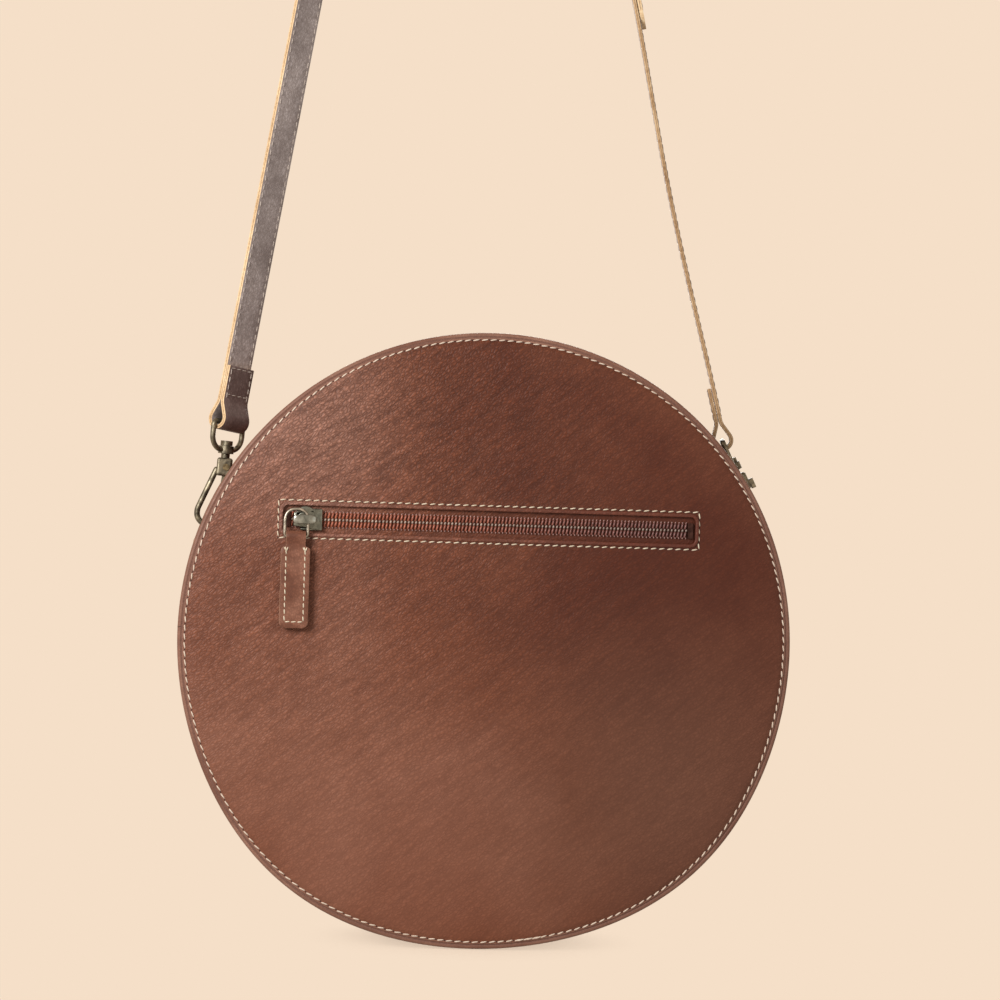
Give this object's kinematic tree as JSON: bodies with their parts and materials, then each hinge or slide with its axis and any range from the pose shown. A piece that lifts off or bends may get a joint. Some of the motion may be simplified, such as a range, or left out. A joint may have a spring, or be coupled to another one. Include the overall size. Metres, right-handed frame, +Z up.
{
  "type": "circle bag",
  "caption": "Round leather zip bag with a zipped face pocket, welted edges, a zip gusset and a buckled strap on swivel hooks.",
  "frame": {"origin": "centre of the peg that the strap hangs over", "axes": "+Z up, +X to the right seen from the pocket face, the pocket face looks to -Y"},
  "size_m": [0.25, 0.0805, 0.6678],
  "materials": {
    "panel_leather": "pebbled, satin",
    "welt_leather": "smooth, satin",
    "strap_leather": "smooth, waxed, raw tan edges",
    "tab_leather": "smooth, stitched",
    "board": "pressed fibre board",
    "lining": "woven cotton",
    "zip_tape": "woven tape",
    "zip_coil": "nylon coil",
    "aged_brass": "antique, worn",
    "pin_steel": "satin"
  },
  "bodies": {
    "strap": {"long_strap": "strap_leather", "short_strap": "strap_leather", "buckle_frame": "aged_brass", "left_eye": "aged_brass", "right_eye": "aged_brass"},
    "bag": {"plain_panel": "panel_leather", "pocket_panel": "panel_leather", "plain_welt": "welt_leather", "pocket_welt": "welt_leather", "zip_gusset": "panel_leather", "base_gusset": "panel_leather", "plain_board": "board", "pocket_board": "board", "plain_lining": "lining", "pocket_lining": "lining", "gusset_lining": "lining", "pocket_pouch": "lining", "pocket_tape_upper": "zip_tape", "pocket_coil_upper": "zip_coil", "pocket_tape_lower": "zip_tape", "pocket_coil_lower": "zip_coil", "pocket_stops": "aged_brass", "main_tape_front": "zip_tape", "main_coil_front": "zip_coil", "main_tape_back": "zip_tape", "main_coil_back": "zip_coil", "main_stops": "aged_brass", "left_ring_tab": "panel_leather", "right_ring_tab": "panel_leather"},
    "prong": {"buckle_prong": "aged_brass"},
    "keeper": {"strap_keeper": "strap_leather"},
    "left_clip": {"left_hook": "aged_brass", "left_gate_pin": "pin_steel", "left_gate_spring": "pin_steel"},
    "left_latch": {"left_gate": "aged_brass"},
    "right_clip": {"right_hook": "aged_brass", "right_gate_pin": "pin_steel", "right_gate_spring": "pin_steel"},
    "right_latch": {"right_gate": "aged_brass"},
    "left_ring": {"left_d_ring": "aged_brass"},
    "right_ring": {"right_d_ring": "aged_brass"},
    "pocket_runner": {"pocket_slider": "aged_brass"},
    "pocket_loop": {"pocket_bail": "aged_brass"},
    "pocket_pull": {"pocket_tab": "tab_leather"},
    "main_runner": {"main_slider": "aged_brass"},
    "main_loop": {"main_bail": "aged_brass"},
    "main_pull": {"main_tab": "tab_leather"}
  },
  "joints": [
    {"name": "bag_swing", "type": "hinge", "parent": "strap", "child": "bag", "pos_m": [0.02, 0, -0.4815], "axis": [1, 0, 0], "range_deg": [-25, 25]},
    {"name": "left_clip_swivel", "type": "hinge", "parent": "strap", "child": "left_clip", "pos_m": [-0.08754, 0, -0.45056], "axis": [0.0653, 0, 0.9979], "range_deg": [-8, 8]},
    {"name": "left_latch_open", "type": "hinge", "parent": "left_clip", "child": "left_latch", "pos_m": [-0.08731, 0, -0.45779], "axis": [0, 1, 0], "range_deg": [0, 18], "stiffness_Nm_per_rad": 0.02, "springref_deg": -11.46},
    {"name": "left_ring_play", "type": "hinge", "parent": "bag", "child": "left_ring", "pos_m": [-0.09657, 0, -0.48935], "axis": [0, 1, 0], "range_deg": [-2, 2]},
    {"name": "right_clip_swivel", "type": "hinge", "parent": "strap", "child": "right_clip", "pos_m": [0.12525, 0, -0.45088], "axis": [-0.4345, 0, 0.9007], "range_deg": [-8, 8]},
    {"name": "right_latch_open", "type": "hinge", "parent": "right_clip", "child": "right_latch", "pos_m": [0.12901, 0, -0.45706], "axis": [0, 1, 0], "range_deg": [0, 18], "stiffness_Nm_per_rad": 0.02, "springref_deg": -11.46},
    {"name": "right_ring_play", "type": "hinge", "parent": "bag", "child": "right_ring", "pos_m": [0.13649, 0, -0.48909], "axis": [0, 1, 0], "range_deg": [-2, 2]},
    {"name": "pocket_zip_run", "type": "slide", "parent": "bag", "child": "pocket_runner", "axis": [1, 0, 0], "range_m": [0, 0.148]},
    {"name": "pocket_bail_swing", "type": "hinge", "parent": "pocket_runner", "child": "pocket_loop", "pos_m": [-0.054, -0.0405, -0.478], "axis": [0, 0, 1], "range_deg": [0, 90]},
    {"name": "pocket_tab_lift", "type": "hinge", "parent": "pocket_loop", "child": "pocket_pull", "pos_m": [-0.05805, -0.0405, -0.485], "axis": [-1, 0, 0], "range_deg": [0, 90]},
    {"name": "main_zip_run", "type": "hinge", "parent": "bag", "child": "main_runner", "pos_m": [0.02, 0, -0.525], "axis": [0, 1, 0], "range_deg": [0, 65.89]},
    {"name": "main_bail_lift", "type": "hinge", "parent": "main_runner", "child": "main_loop", "pos_m": [-0.04412, 0, -0.42606], "axis": [0, -1, 0], "range_deg": [0, 90]},
    {"name": "main_tab_lift", "type": "hinge", "parent": "main_loop", "child": "main_pull", "pos_m": [-0.03488, 0, -0.42007], "axis": [0, -1, 0], "range_deg": [0, 90]},
    {"name": "prong_play", "type": "hinge", "parent": "strap", "child": "prong", "pos_m": [0.05972, 0.00023, -0.19476], "axis": [0.1471, 0.9885, 0.0353], "range_deg": [0, 4]},
    {"name": "keeper_slide", "type": "slide", "parent": "strap", "child": "keeper", "axis": [-0.2334, 0, 0.9724], "range_m": [-0.028, 0.005]}
  ]
}
